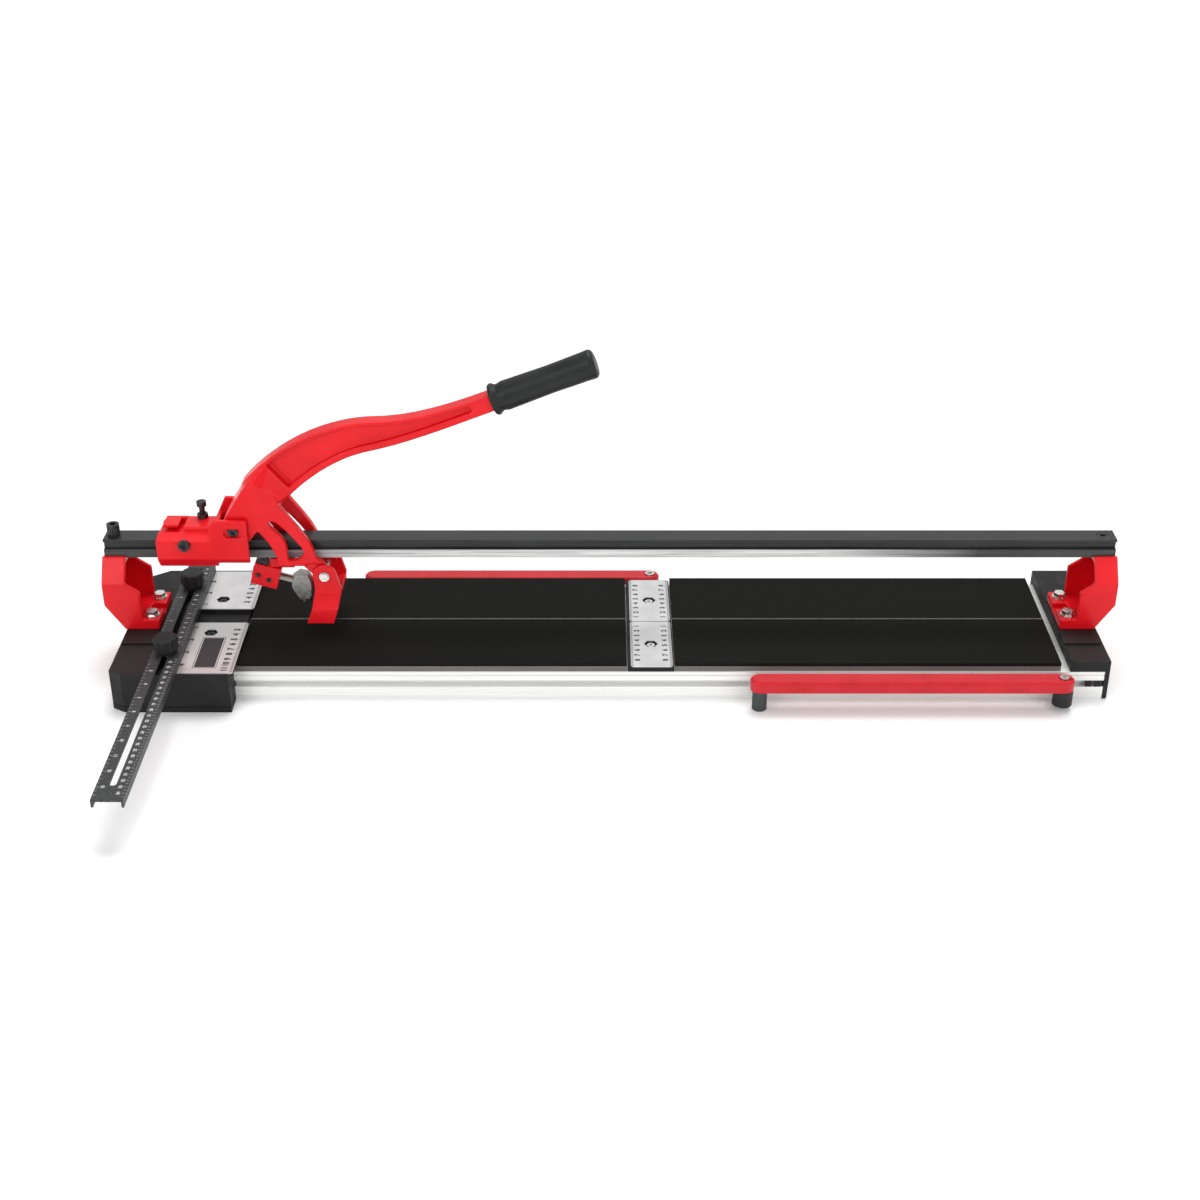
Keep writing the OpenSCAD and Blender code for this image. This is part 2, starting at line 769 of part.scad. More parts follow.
module handle_stop_bolt() {
    color(black) translate([stop_bolt[0], stop_bolt[1], 0]) {
        translate([0, 0, stop_bolt_foot]) cylinder(h = stop_bolt_head - stop_bolt_foot, r = m6_r - run_gap);
        translate([0, 0, stop_bolt_head]) cylinder(h = 5, r = 5);
    }
}

module handle_stop_nut() {
    nut_height = 5;
    color(dark_steel) translate([stop_bolt[0], stop_bolt[1], carriage_top]) difference() {
        cylinder(h = nut_height, r = 5.8, $fn = 6);
        translate([0, 0, -1]) cylinder(h = nut_height + 2, r = m6_r);
    }
}

module guide_roller(x) {
    color(steel) difference() {
        bar_y(x, roller_z, roller_r, -roller_width / 2, roller_width / 2);
        bar_y(x, roller_z, roller_pin_r + run_gap, -roller_width, roller_width);
    }
}

module guide_roller_pins() {
    color(dark_steel) for (x = roller_x) bar_y(x, roller_z, roller_pin_r, -roller_pin_half, roller_pin_half);
}

module handle_pivot_pin() {
    half = carriage_width / 2;
    front = 3 - half;
    color(dark_steel) difference() {
        bar_y(pivot_x, pivot_z, pivot_pin_d / 2, front, half);
        translate([pivot_x, front + 2, pivot_z]) rotate([90, 0, 0]) cylinder(h = 4, r = 2.5, $fn = 6);
    }
}

// ---- handle --------------------------------------------------------------------------------------------

// The arm's centre line: a steep curve up from the crown, then a flatter one that swings up to the grip
arm_low = [[-356, 188], [-332, 216], [-290, 248], [-240, 254]];
arm_high = [[-240, 254], [-210, 257.6], [-178, 266], grip_foot];
root_half = 22;
tip_half = 8.5;
function arm_half(s) = root_half - (root_half - tip_half) * pow(s / 2, 2) * (3 - s);
function arm_point(s) = s < 1 ? bez(arm_low, s) : bez(arm_high, s - 1);
function arm_slope(s) = s < 1 ? bez_slope(arm_low, s) : bez_slope(arm_high, s - 1);
function arm_edge(side, inset, s0, s1, n = 26) = [
    for (i = [0 : n]) let (s = s0 + (s1 - s0) * i / n)
    arm_point(s) + side * (arm_half(s) - inset) * normal(arm_slope(s))
];

module arm_shape(inset_top, inset_low, s0, s1) {
    polygon(concat(arm_edge(1, inset_top, s0, s1), arm_edge(-1, inset_low, s1, s0)));
}

// Crown that joins the legs above the rail
module crown_shape() {
    polygon(concat(
        arc([pivot_x, pivot_z], hub_r, 250, 180, 6),
        [[-393, 165], [-389, 172.5], [-382.4, 182.5], [-374.5, 194.5], [-367.5, 203.5]],
        [[-361, 208], [-349, 203], [-337, 192], [-335, 184], [-368, crown_bottom]]
    ));
}

// Soft shoulder between the wide crown and the narrower arm
module shoulder() {
    outer = fork_width / 2;
    half = handle_thickness / 2;
    hull() {
        along_y(-outer, outer) polygon([
            [-374.5, 194.5], [-382.4, 182.5], [-337, 186], [-349, 203], [-361, 208], [-367.5, 203.5]
        ]);
        along_y(-half, half) arm_shape(0.5, 0.5, 0.05, 0.3);
    }
}

// One leg of the fork, with its long window
module leg_shape() {
    difference() {
        polygon([
            [-385, 168], [-382.4, 182.5], [-374.5, 194.5], [-362, 200], [-346, 197], [-338, 190],
            [-335.3, 184.5], [-325, 169.3], [-316.5, 157.5], [-309.5, 146.5], [-304.8, 137], [-302.6, 129.6],
            [-300.9, 123], [-295, 118.5], [-295, leg_bottom + 3.5], [-310, leg_bottom + 2.5],
            [-314, leg_bottom], [-341, leg_bottom], [-341.4, 125], [-343.2, 131], [-348.6, 141.7],
            [-356.3, 152.5], [-366.1, 162.1]
        ]);
        polygon([
            [-347.7, 163], [-346.5, 165], [-343.5, 166], [-340.5, 165.5], [-337, 163], [-329, 154.5],
            [-321, 144.5], [-315, 136], [-313.5, 132.5], [-313.5, 129], [-316.5, 124], [-321, 121.5],
            [-328, 120.8], [-330.4, 122.5], [-330.2, 134.5], [-331.7, 141], [-334.5, 147], [-345.5, 159.5]
        ]);
    }
}

module lug_shape() {
    translate(foot_pivot) circle(r = lug_r);
    polygon([
        [-318, leg_bottom + 1], foot_pivot + [-0.75, -0.62] * lug_r, foot_pivot + [0.95 * lug_r, 0],
        [-295, leg_bottom + 4]
    ]);
}

module handle() {
    outer = fork_width / 2;
    inner = fork_gap / 2;
    half = handle_thickness / 2;
    tang_start = 6;
    crossbar_left = -341;
    crossbar_right = -326;
    gusset = 4;
    color(red) difference() {
        union() {
            along_y(-half, half) arm_shape(0, 0, 0, 2);
            shoulder();
            along_y(-outer, outer) crown_shape();
            bar_y(pivot_x, pivot_z, hub_r, -outer, outer);
            for (side = [0, 1]) mirror([0, side, 0]) {
                along_y(inner, outer) leg_shape();
                along_y(inner, inner + ear_thickness) lug_shape();
            }
            // bar that joins the legs below the rail, its underside rising to them
            along_x(crossbar_left, crossbar_right) polygon([
                [-outer, rail_bottom - 3], [-outer, leg_bottom], [-inner, leg_bottom - gusset],
                [-head_size[1] / 2, crossbar_low], [head_size[1] / 2, crossbar_low],
                [inner, leg_bottom - gusset], [outer, leg_bottom], [outer, rail_bottom - 3]
            ]);
            block([tongue_left, -head_size[1] / 2, crossbar_low],
                  [crossbar_right, head_size[1] / 2, rail_bottom - 3]);
            // round tang inside the grip
            translate([grip_foot[0], 0, grip_foot[1]]) rotate([0, 90 - grip_angle, 0])
                translate([0, 0, -tang_start]) cylinder(h = grip_length - 20 + tang_start, r = spigot_r);
        }
        // pockets in both sides of the arm, which leave an I-section
        for (side = [0, 1]) mirror([0, side, 0])
            along_y(half - pocket_depth, outer) arm_shape(rim, 2 * rim, 0.26, 1.88);
        // the rail passes between the legs
        block([-372, -inner, rail_bottom - 3], [-280, inner, crown_bottom]);
        bar_y(pivot_x, pivot_z, pivot_pin_d / 2 + run_gap, -outer - 1, outer + 1);
        bar_y(foot_pivot[0], foot_pivot[1], m6_r, -outer - 1, outer + 1);
    }
}

module handle_grip() {
    r = grip_d / 2;
    color(black) translate([grip_foot[0], 0, grip_foot[1]]) rotate([0, 90 - grip_angle, 0]) difference() {
        rotate_extrude() polygon(concat(
            [[0, 0], [r + 0.5, 0]],
            arc([r - 1, 3], 2.5, -30, 60, 6),
            [[r - 1.5, 8], [r, 14], [r - 1, grip_length * 0.55], [r - 0.4, grip_length - 12]],
            arc([r - 5, grip_length - 5], 5, 0, 90, 8),
            [[0, grip_length]]
        ));
        translate([0, 0, -1]) cylinder(h = grip_length - 18, r = spigot_r + run_gap);
    }
}

// ---- cutting head --------------------------------------------------------------------------------------

// Places its children in the tilted frame of the wheel-holder block
module in_head() {
    translate([head_x, 0, head_z]) rotate([0, head_tilt, 0]) children();
}

module wheel_holder_block() {
    keeper_mid = (keeper_in + keeper_out) / 2;
    color(red) difference() {
        union() {
            in_head() cube(head_size, center = true);
            // rib that carries the keeper rollers
            block([keeper_x - 4, -keeper_in + 0.2, head_z], [keeper_x + 4, keeper_in - 0.2, keeper_z + 3]);
        }
        in_head() translate([-head_size[0], 0, -1]) rotate([0, 90, 0])
            cylinder(h = 2 * head_size[0], r = holder_arm_r);
        in_head() for (p = set_screws) bar_y(p[0], p[1], set_screw_r, -head_size[1], 0);
        // room for the keeper rollers, and the flat that meets the fork
        for (side = [-1, 1])
            translate([keeper_x, side * keeper_mid, keeper_z]) rotate([90, 0, 0])
                cylinder(h = keeper_out - keeper_in + 0.4, r = keeper_r + 0.6, center = true);
        bar_y(keeper_x, keeper_z, keeper_pin_r, -20, 20);
        block([tongue_left, -20, crossbar_low], [-320, 20, 130]);
    }
}

module holder_set_screws() {
    proud = 0.6;
    color(black) in_head() for (p = set_screws)
        bar_y(p[0], p[1], set_screw_r - run_gap, -head_size[1] / 2 - proud, -holder_arm_r);
}

module wheel_holder_arm() {
    half = 7;
    tip_half = 3.5;
    tip_z = 58;
    slot_half = wheel_width / 2 + 0.3;
    color(steel) difference() {
        union() {
            in_head() translate([-head_size[0] / 2 - 1, 0, -1]) rotate([0, 90, 0])
                cylinder(h = head_size[0] + 19, r = holder_arm_r - run_gap);
            along_y(-half, half) polygon([
                [-331, 92], [-323, 97.6], [-314, 95.5], [-311.3, 88], [-310.9, 81], [-313.8, 67.5],
                [-318, 63.8], [-321.5, 64.8], [-329.3, 78.5], [-331, 83]
            ]);
        }
        // the lower end narrows towards the wheel
        for (side = [0, 1]) mirror([0, side, 0])
            translate([-340, tip_half, tip_z]) rotate([-18, 0, 0]) translate([0, 0, -5]) cube([50, 12, 30]);
        // slot for the wheel
        block([-340, -slot_half, tip_z], [-300, slot_half, wheel_z + wheel_d / 2 + 1.5]);
        bar_y(wheel_x, wheel_z, axle_r, -10, 10);
    }
}

module wheel_axle() {
    half = 7.2;
    color(steel) bar_y(wheel_x, wheel_z, axle_r - run_gap, -half, half);
}

module cutting_wheel() {
    r = wheel_d / 2;
    half = wheel_width / 2;
    edge = 1.2;
    color(dark_steel) translate([wheel_x, 0, wheel_z]) rotate([90, 0, 0]) rotate_extrude() polygon([
        [axle_r, -half], [r - edge, -half], [r, 0], [r - edge, half], [axle_r, half]
    ]);
}

// One of the two small rollers that run under the rail: side is -1 at the front and 1 at the back
module keeper_roller(side) {
    color(steel) mirror([0, side > 0 ? 0 : 1, 0]) difference() {
        bar_y(keeper_x, keeper_z, keeper_r, keeper_in, keeper_out);
        bar_y(keeper_x, keeper_z, keeper_pin_r + run_gap, 0, 10);
    }
}

module keeper_roller_pin() {
    color(dark_steel) bar_y(keeper_x, keeper_z, keeper_pin_r, -keeper_out - 1, keeper_out + 1);
}

// Front view of the breaker foot: ears, sloping wings and the lips that press on the tile
module foot_front_shape() {
    ear_in = fork_gap / 2 + ear_thickness + ear_gap;
    ear_out = ear_in + ear_thickness;
    ear_top = foot_pivot[1] + ear_r + 4;
    skin = 4;
    side = [
        [ear_in, wing_slope_top + 2], [ear_in, ear_top], [ear_out, ear_top],
        [ear_out, wing_slope_top], [wing_reach, wing_slope_bottom], [wing_reach, wing_tip - 1],
        [wing_reach - skin, wing_tip - 1], [wing_reach - skin, wing_slope_bottom - 3],
        [ear_out - 3, wing_slope_top - skin - 1]
    ];
    polygon(concat(side, [for (i = [len(side) - 1 : -1 : 0]) [-side[i][0], side[i][1]]]));
}

module foot_side_shape() {
    polygon([
        foot_pivot + [-0.95 * ear_r, 3], foot_pivot + [0.95 * ear_r, 3], [-277, wing_slope_top + 3.5],
        [-280, wing_slope_bottom], [wing_right, wing_tip], [wing_left, wing_tip], [-307, wing_slope_bottom],
        [-305, wing_slope_top + 3.5]
    ]);
}

module breaker_foot() {
    reach = wing_reach + 1;
    color(red) difference() {
        intersection() {
            union() {
                along_y(-reach, reach) foot_side_shape();
                bar_y(foot_pivot[0], foot_pivot[1], ear_r, -reach, reach);
            }
            along_x(-320, -270) foot_front_shape();
        }
        bar_y(foot_pivot[0], foot_pivot[1], m6_r + run_gap, -reach - 1, reach + 1);
    }
}

module foot_pivot_bolt() {
    ear_out = fork_gap / 2 + 2 * ear_thickness + ear_gap;
    color(steel) {
        bar_y(foot_pivot[0], foot_pivot[1], m6_r, -ear_out - 0.5, ear_out + 0.5);
        for (side = [-1, 1]) translate([foot_pivot[0], side * (ear_out + 0.4), foot_pivot[1]])
            rotate([-side * 90, 0, 0]) hex_head(4.6, 3, 5.2, 0.8);
    }
}

// ---- nodes ---------------------------------------------------------------------------------------------

base_extrusion();
breaking_ridge(bed_left, gap_left);  // breaking_ridge_left
breaking_ridge(gap_right, bed_right);  // breaking_ridge_right
board(bed_left, gap_left, -1);  // board_front_left
board(bed_left, gap_left, 1);  // board_rear_left
board(gap_right, bed_right, -1);  // board_front_right
board(gap_right, bed_right, 1);  // board_rear_right
pad(bed_left, gap_left, -1);  // pad_front_left
pad(bed_left, gap_left, 1);  // pad_rear_left
pad(gap_right, bed_right, -1);  // pad_front_right
pad(gap_right, bed_right, 1);  // pad_rear_right
center_scale_block();
center_scale(-1);  // center_scale_front
center_scale(1);  // center_scale_rear
center_scale_bolts();
left_end_block();
left_scale_front();
left_scale_rear();
left_scale_bolts();
right_end_cap();
rail_bracket(-stop_screw_x);  // left_rail_bracket
mirror([1, 0, 0]) rail_bracket(end_screw_x);  // right_rail_bracket
bracket_bolts(-bolt_x, 34);  // left_bracket_bolts
bracket_bolts(bolt_x, 27);  // right_bracket_bolts
rail();
rail_stop_screw();
rail_end_screw();
slot_plugs();
fence_rule();
fence_knob(knob_y[0]);  // fence_knob_front
fence_knob(knob_y[1]);  // fence_knob_rear
fence_studs();
support_arm(front_pivot_x, -arm_y);  // front_support_arm
support_arm(rear_pivot_x, arm_y);  // rear_support_arm
arm_foot(front_pivot_x, -arm_y);  // front_arm_foot
arm_foot(rear_pivot_x, arm_y);  // rear_arm_foot
arm_post(front_pivot_x, -1);  // front_arm_post
arm_post(rear_pivot_x, 1);  // rear_arm_post
pivot_screw(front_pivot_x, -arm_y);  // front_pivot_screw
pivot_screw(rear_pivot_x, arm_y);  // rear_pivot_screw
slider_body();
slider_side_screws();
handle_stop_bolt();
handle_stop_nut();
guide_roller(roller_x[0]);  // guide_roller_left
guide_roller(roller_x[1]);  // guide_roller_right
guide_roller_pins();
handle();
handle_grip();
handle_pivot_pin();
wheel_holder_block();
holder_set_screws();
wheel_holder_arm();
wheel_axle();
cutting_wheel();
keeper_roller(-1);  // keeper_roller_front
keeper_roller(1);  // keeper_roller_rear
keeper_roller_pin();
breaker_foot();
foot_pivot_bolt();
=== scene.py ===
"""Looks of the manual tile cutter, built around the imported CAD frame. Lengths are in metres."""

import json
import math

import bmesh
import bpy
from mathutils import Matrix, Vector


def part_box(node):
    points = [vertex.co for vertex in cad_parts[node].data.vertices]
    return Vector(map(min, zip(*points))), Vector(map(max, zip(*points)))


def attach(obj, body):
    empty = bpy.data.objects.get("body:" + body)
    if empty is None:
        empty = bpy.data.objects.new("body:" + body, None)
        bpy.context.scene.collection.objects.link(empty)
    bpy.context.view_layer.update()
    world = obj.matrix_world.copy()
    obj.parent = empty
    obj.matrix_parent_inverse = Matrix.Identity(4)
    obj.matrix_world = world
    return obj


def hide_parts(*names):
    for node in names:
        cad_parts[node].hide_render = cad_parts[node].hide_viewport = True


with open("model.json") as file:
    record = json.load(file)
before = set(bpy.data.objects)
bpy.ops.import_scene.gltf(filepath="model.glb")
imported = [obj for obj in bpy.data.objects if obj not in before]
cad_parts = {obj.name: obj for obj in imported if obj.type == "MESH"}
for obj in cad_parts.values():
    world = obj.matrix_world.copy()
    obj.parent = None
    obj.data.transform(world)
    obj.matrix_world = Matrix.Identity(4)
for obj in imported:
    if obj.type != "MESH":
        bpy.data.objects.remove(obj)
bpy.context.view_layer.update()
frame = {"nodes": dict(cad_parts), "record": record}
nodes = frame["nodes"]
node_body = {name: body for body, names in frame["record"]["behaviour"]["bodies"].items() for name in names}
MM = 0.001
scene = bpy.context.scene


# ---- node-graph helper -----------------------------------------------------------------------------


class Surface:
    """A material with a Principled shader, textured in the frame's own coordinates."""

    def __init__(self, name, **sockets):
        self.mat = bpy.data.materials.new(name)
        self.mat.use_nodes = True
        self.tree = self.mat.node_tree
        self.bsdf = self.tree.nodes["Principled BSDF"]
        for socket, value in sockets.items():
            self.bsdf.inputs[socket.replace("_", " ")].default_value = value
        self.coords = self.tree.nodes.new("ShaderNodeTexCoord").outputs["Object"]
        self.normal = None

    def add(self, kind, **settings):
        """A node of this kind; each setting goes to the input or else the property of that name."""
        node = self.tree.nodes.new(kind)
        for key, value in settings.items():
            if key in node.inputs:
                node.inputs[key].default_value = value
            else:
                setattr(node, key, value)
        return node

    def link(self, a, b):
        self.tree.links.new(a, b)

    def stretched(self, scale):
        """Coordinates scaled by (x, y, z), for grain that runs one way."""
        mapping = self.add("ShaderNodeMapping")
        mapping.inputs["Scale"].default_value = scale
        self.link(self.coords, mapping.inputs["Vector"])
        return mapping.outputs["Vector"]

    def noise(self, scale, detail=3.0, roughness=0.55, vector=None):
        node = self.add("ShaderNodeTexNoise", Scale=scale, Detail=detail, Roughness=roughness)
        self.link(vector or self.coords, node.inputs["Vector"])
        return node.outputs["Fac"]

    def cells(self, scale):
        node = self.add("ShaderNodeTexVoronoi", Scale=scale)
        self.link(self.coords, node.inputs["Vector"])
        return node.outputs["Distance"]

    def ramp(self, fac, stops):
        """Colour ramp between two (position, rgb) stops."""
        node = self.add("ShaderNodeValToRGB")
        for element, (position, color) in zip(node.color_ramp.elements, stops):
            element.position = position
            element.color = (*color, 1.0)
        self.link(fac, node.inputs["Fac"])
        return node.outputs["Color"]

    def spread(self, fac, low, high, f0=0.3, f1=0.7):
        """A number that runs from low to high as fac goes from f0 to f1."""
        node = self.add("ShaderNodeMapRange", clamp=True)
        for key, value in zip(("From Min", "From Max", "To Min", "To Max"), (f0, f1, low, high)):
            node.inputs[key].default_value = value
        self.link(fac, node.inputs["Value"])
        return node.outputs["Result"]

    def mix(self, fac, base, over):
        """The colour base, with over, an rgb or another colour output, laid on it by fac."""
        node = self.add("ShaderNodeMix", data_type="RGBA")
        fac_input, base_input, over_input = (node.inputs[i] for i in (0, 6, 7))
        self.link(fac, fac_input)
        self.link(base, base_input)
        if isinstance(over, bpy.types.NodeSocket):
            self.link(over, over_input)
        else:
            over_input.default_value = (*over, 1.0)
        return node.outputs[2]

    def color(self, output):
        self.link(output, self.bsdf.inputs["Base Color"])

    def roughness(self, output):
        self.link(output, self.bsdf.inputs["Roughness"])

    def bump(self, height, strength, distance):
        """Adds a layer of bump on top of those before it."""
        node = self.add("ShaderNodeBump", Strength=strength, Distance=distance)
        self.link(height, node.inputs["Height"])
        if self.normal:
            self.link(self.normal, node.inputs["Normal"])
        self.normal = node.outputs["Normal"]
        self.link(self.normal, self.bsdf.inputs["Normal"])

    def edges(self):
        """Half on the flats of a dense mesh, less in its hollows and more on its outer edges."""
        return self.add("ShaderNodeNewGeometry").outputs["Pointiness"]


# ---- materials -------------------------------------------------------------------------------------


def red_paint(name, deep, bright, peel):
    """Glossy powder coat over a casting or pressing: orange peel, and a lighter red on the outer edges that
    is partly a thinner coat and partly painted highlight.
    """
    s = Surface(name, Coat_Weight=0.1, Coat_Roughness=0.12, Specular_IOR_Level=0.24)
    base = s.ramp(s.noise(26, 4), [(0.3, deep), (0.7, bright)])
    # lighter red mixed in on convex edges: partly a worn, thinner coat and partly a painted highlight along
    # the edges
    edge_highlight_and_wear = s.spread(s.edges(), 0.0, 0.45, 0.53, 0.62)
    thin_coat_and_highlight = [c * 1.15 + 0.03 for c in bright]
    s.color(s.mix(edge_highlight_and_wear, base, thin_coat_and_highlight))
    s.roughness(s.spread(s.noise(90, 5), 0.28, 0.4))
    s.bump(s.noise(peel, 2), 0.2, 0.0004)
    s.bump(s.noise(peel * 4, 2), 0.06, 0.0002)
    return s.mat


# Colours of the strip of painted highlight on the rail's lower flange, standing in for a reflection
FLANGE_HIGHLIGHT_TONES = ((0.42, 0.42, 0.41), (0.86, 0.86, 0.84))
HIGHLIGHT_EDGE = 0.8 * MM  # height over which the painted highlight strip ends
HIGHLIGHT_REACH = (0.22, 0.38)  # distances from the middle between which the painted highlight strip fades out
HIGHLIGHT_ENDS = 0.04  # what is left of it at the ends


def black_paint(name, dark, light, rub, speck=0.0, highlight_below=None):
    """Satin black paint on steel, with rub marks that run along X.

    speck is the strength of pale flecks. Below the height in the last argument a pale strip of painted
    highlight, standing in for a reflection on the glossy paint, lies in the middle of the length and fades
    back to black towards both ends.
    """
    s = Surface(name, Specular_IOR_Level=0.36)
    streak = s.noise(1.0, 5, 0.6, s.stretched((9, 420, 420)))
    base = s.ramp(streak, [(0.35, dark), (0.72, light)])
    base = s.mix(s.spread(s.noise(14, 4), 0.0, 0.5), base, [c * 0.6 for c in dark])
    if speck:
        flecks = s.spread(s.noise(620, 3, 0.8), 0.0, speck, 0.5, 0.66)
        base = s.mix(flecks, base, [c * 4 for c in light])
    # pale strip of painted highlight on the lower part, standing in for the reflection the glossy paint
    # shows there
    if highlight_below:
        place = s.add("ShaderNodeSeparateXYZ")
        s.link(s.coords, place.inputs["Vector"])
        reach = s.add("ShaderNodeMath", operation="ABSOLUTE")
        s.link(place.outputs["X"], reach.inputs[0])
        painted_highlight_mask = s.add("ShaderNodeMath", operation="MULTIPLY")
        low_down = s.spread(place.outputs["Z"], 0.9, 0.0, highlight_below - HIGHLIGHT_EDGE, highlight_below)
        s.link(low_down, painted_highlight_mask.inputs[0])
        s.link(s.spread(reach.outputs["Value"], 1.0, HIGHLIGHT_ENDS, *HIGHLIGHT_REACH), painted_highlight_mask.inputs[1])
        painted_flange_highlight = s.ramp(streak, [(0.3, FLANGE_HIGHLIGHT_TONES[0]), (0.6, FLANGE_HIGHLIGHT_TONES[1])])
        base = s.mix(painted_highlight_mask.outputs["Value"], base, painted_flange_highlight)
    s.color(base)
    s.roughness(s.spread(streak, 0.42 - rub, 0.5))
    s.bump(s.noise(1400, 2), 0.12, 0.0002)
    s.bump(streak, 0.10, 0.0002)
    return s.mat


def moulded_plastic(name, dark, light, grain, rough):
    """Spark-eroded black plastic with a fine grain and dusty patches."""
    s = Surface(name, Specular_IOR_Level=0.26)
    s.color(s.ramp(s.noise(18, 5), [(0.3, dark), (0.75, light)]))
    s.roughness(s.spread(s.noise(60, 4), rough - 0.08, rough + 0.12))
    s.bump(s.cells(grain), 0.25, 0.00025)
    s.bump(s.noise(grain * 2, 2), 0.15, 0.0001)
    return s.mat


def aluminium(name, tone):
    """Drawn aluminium: fine lines along the extrusion, with a few brighter and duller bands."""
    s = Surface(name, Metallic=0.2)
    line = s.noise(1.0, 4, 0.6, s.stretched((4, 900, 900)))
    band = s.noise(1.0, 3, 0.5, s.stretched((1.5, 60, 90)))
    base = s.ramp(line, [(0.3, [c * 0.86 for c in tone]), (0.7, tone)])
    s.color(s.mix(s.spread(band, 0.0, 0.45), base, [c * 0.9 for c in tone]))
    s.roughness(s.spread(line, 0.22, 0.42))
    s.bump(line, 0.12, 0.0001)
    return s.mat


def plate_metal():
    """Printed scale plate: pale satin metal with faint smudges and fine brushing."""
    s = Surface("scale_plate_metal", Metallic=0.55)
    line = s.noise(1.0, 3, 0.5, s.stretched((900, 12, 900)))
    smudge = s.noise(30, 5, 0.6)
    s.color(s.ramp(smudge, [(0.3, (0.58, 0.58, 0.585)), (0.6, (0.70, 0.70, 0.695))]))
    s.roughness(s.spread(smudge, 0.28, 0.42))
    s.bump(line, 0.06, 0.0001)
    s.bump(s.noise(70, 2), 0.03, 0.0006)
    return s.mat


def bright_steel(name, tone, rough, spots):
    """Plated or ground steel with small stains."""
    s = Surface(name, Metallic=1.0)
    stain = s.noise(spots, 5, 0.65)
    s.color(s.ramp(stain, [(0.3, [c * 0.6 for c in tone]), (0.6, tone)]))
    s.roughness(s.spread(stain, rough - 0.06, rough + 0.14))
    s.bump(s.noise(spots * 5, 3), 0.12, 0.00015)
    return s.mat


def black_oxide():
    """Blackened steel of the cap screws, unevenly dark."""
    s = Surface("black_oxide_steel", Metallic=0.7)
    s.color(s.ramp(s.noise(260, 4), [(0.3, (0.018, 0.018, 0.02)), (0.75, (0.07, 0.07, 0.075))]))
    s.roughness(s.spread(s.noise(500, 3), 0.3, 0.5))
    s.bump(s.noise(1500, 2), 0.1, 0.0001)
    return s.mat


def pad_rubber():
    """Dull black bed rubber with a fine pebble and a little chalk dust."""
    s = Surface("bed_rubber", Specular_IOR_Level=0.08)
    dust = s.noise(5.5, 6, 0.65)
    s.color(s.ramp(dust, [(0.35, (0.006, 0.006, 0.005)), (0.8, (0.011, 0.0108, 0.009))]))
    s.roughness(s.spread(dust, 0.68, 0.85))
    s.bump(s.cells(1100), 0.2, 0.0002)
    s.bump(s.noise(22, 3), 0.05, 0.0008)
    return s.mat


def board_edge():
    """Grey-brown board under the pads: pressed layers along its edge."""
    s = Surface("board_fibre", Roughness=0.7, Specular_IOR_Level=0.3)
    layer = s.noise(1.0, 4, 0.6, s.stretched((14, 60, 1600)))
    fibre = s.noise(700, 4, 0.7)
    base = s.ramp(layer, [(0.3, (0.10, 0.095, 0.085)), (0.7, (0.17, 0.16, 0.145))])
    s.color(s.mix(s.spread(fibre, 0.0, 0.3), base, (0.24, 0.23, 0.21)))
    s.bump(layer, 0.3, 0.0003)
    s.bump(fibre, 0.2, 0.0002)
    return s.mat


def grip_rubber():
    """Soft black grip with a fine pebble and a handled sheen."""
    s = Surface("grip_rubber", Specular_IOR_Level=0.3)
    polish = s.noise(38, 5, 0.6)
    s.color(s.ramp(polish, [(0.3, (0.006, 0.007, 0.007)), (0.75, (0.017, 0.019, 0.019))]))
    s.roughness(s.spread(polish, 0.34, 0.56))
    s.bump(s.cells(900), 0.3, 0.0003)
    s.bump(s.noise(240, 3), 0.12, 0.0003)
    return s.mat


def print_ink(name, tone):
    """Printed ink, slightly uneven."""
    s = Surface(name, Roughness=0.5, Specular_IOR_Level=0.4)
    thick = [c * 0.7 for c in tone]
    thin = [c * 1.25 + 0.01 for c in tone]
    s.color(s.ramp(s.noise(900, 4, 0.7), [(0.3, thick), (0.7, thin)]))
    s.bump(s.noise(1800, 2), 0.1, 0.0001)
    return s.mat


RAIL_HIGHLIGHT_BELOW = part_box("rail")[0][2] + 9 * MM  # top of the rail's lower flange, below which the rail paint has its strip of painted highlight

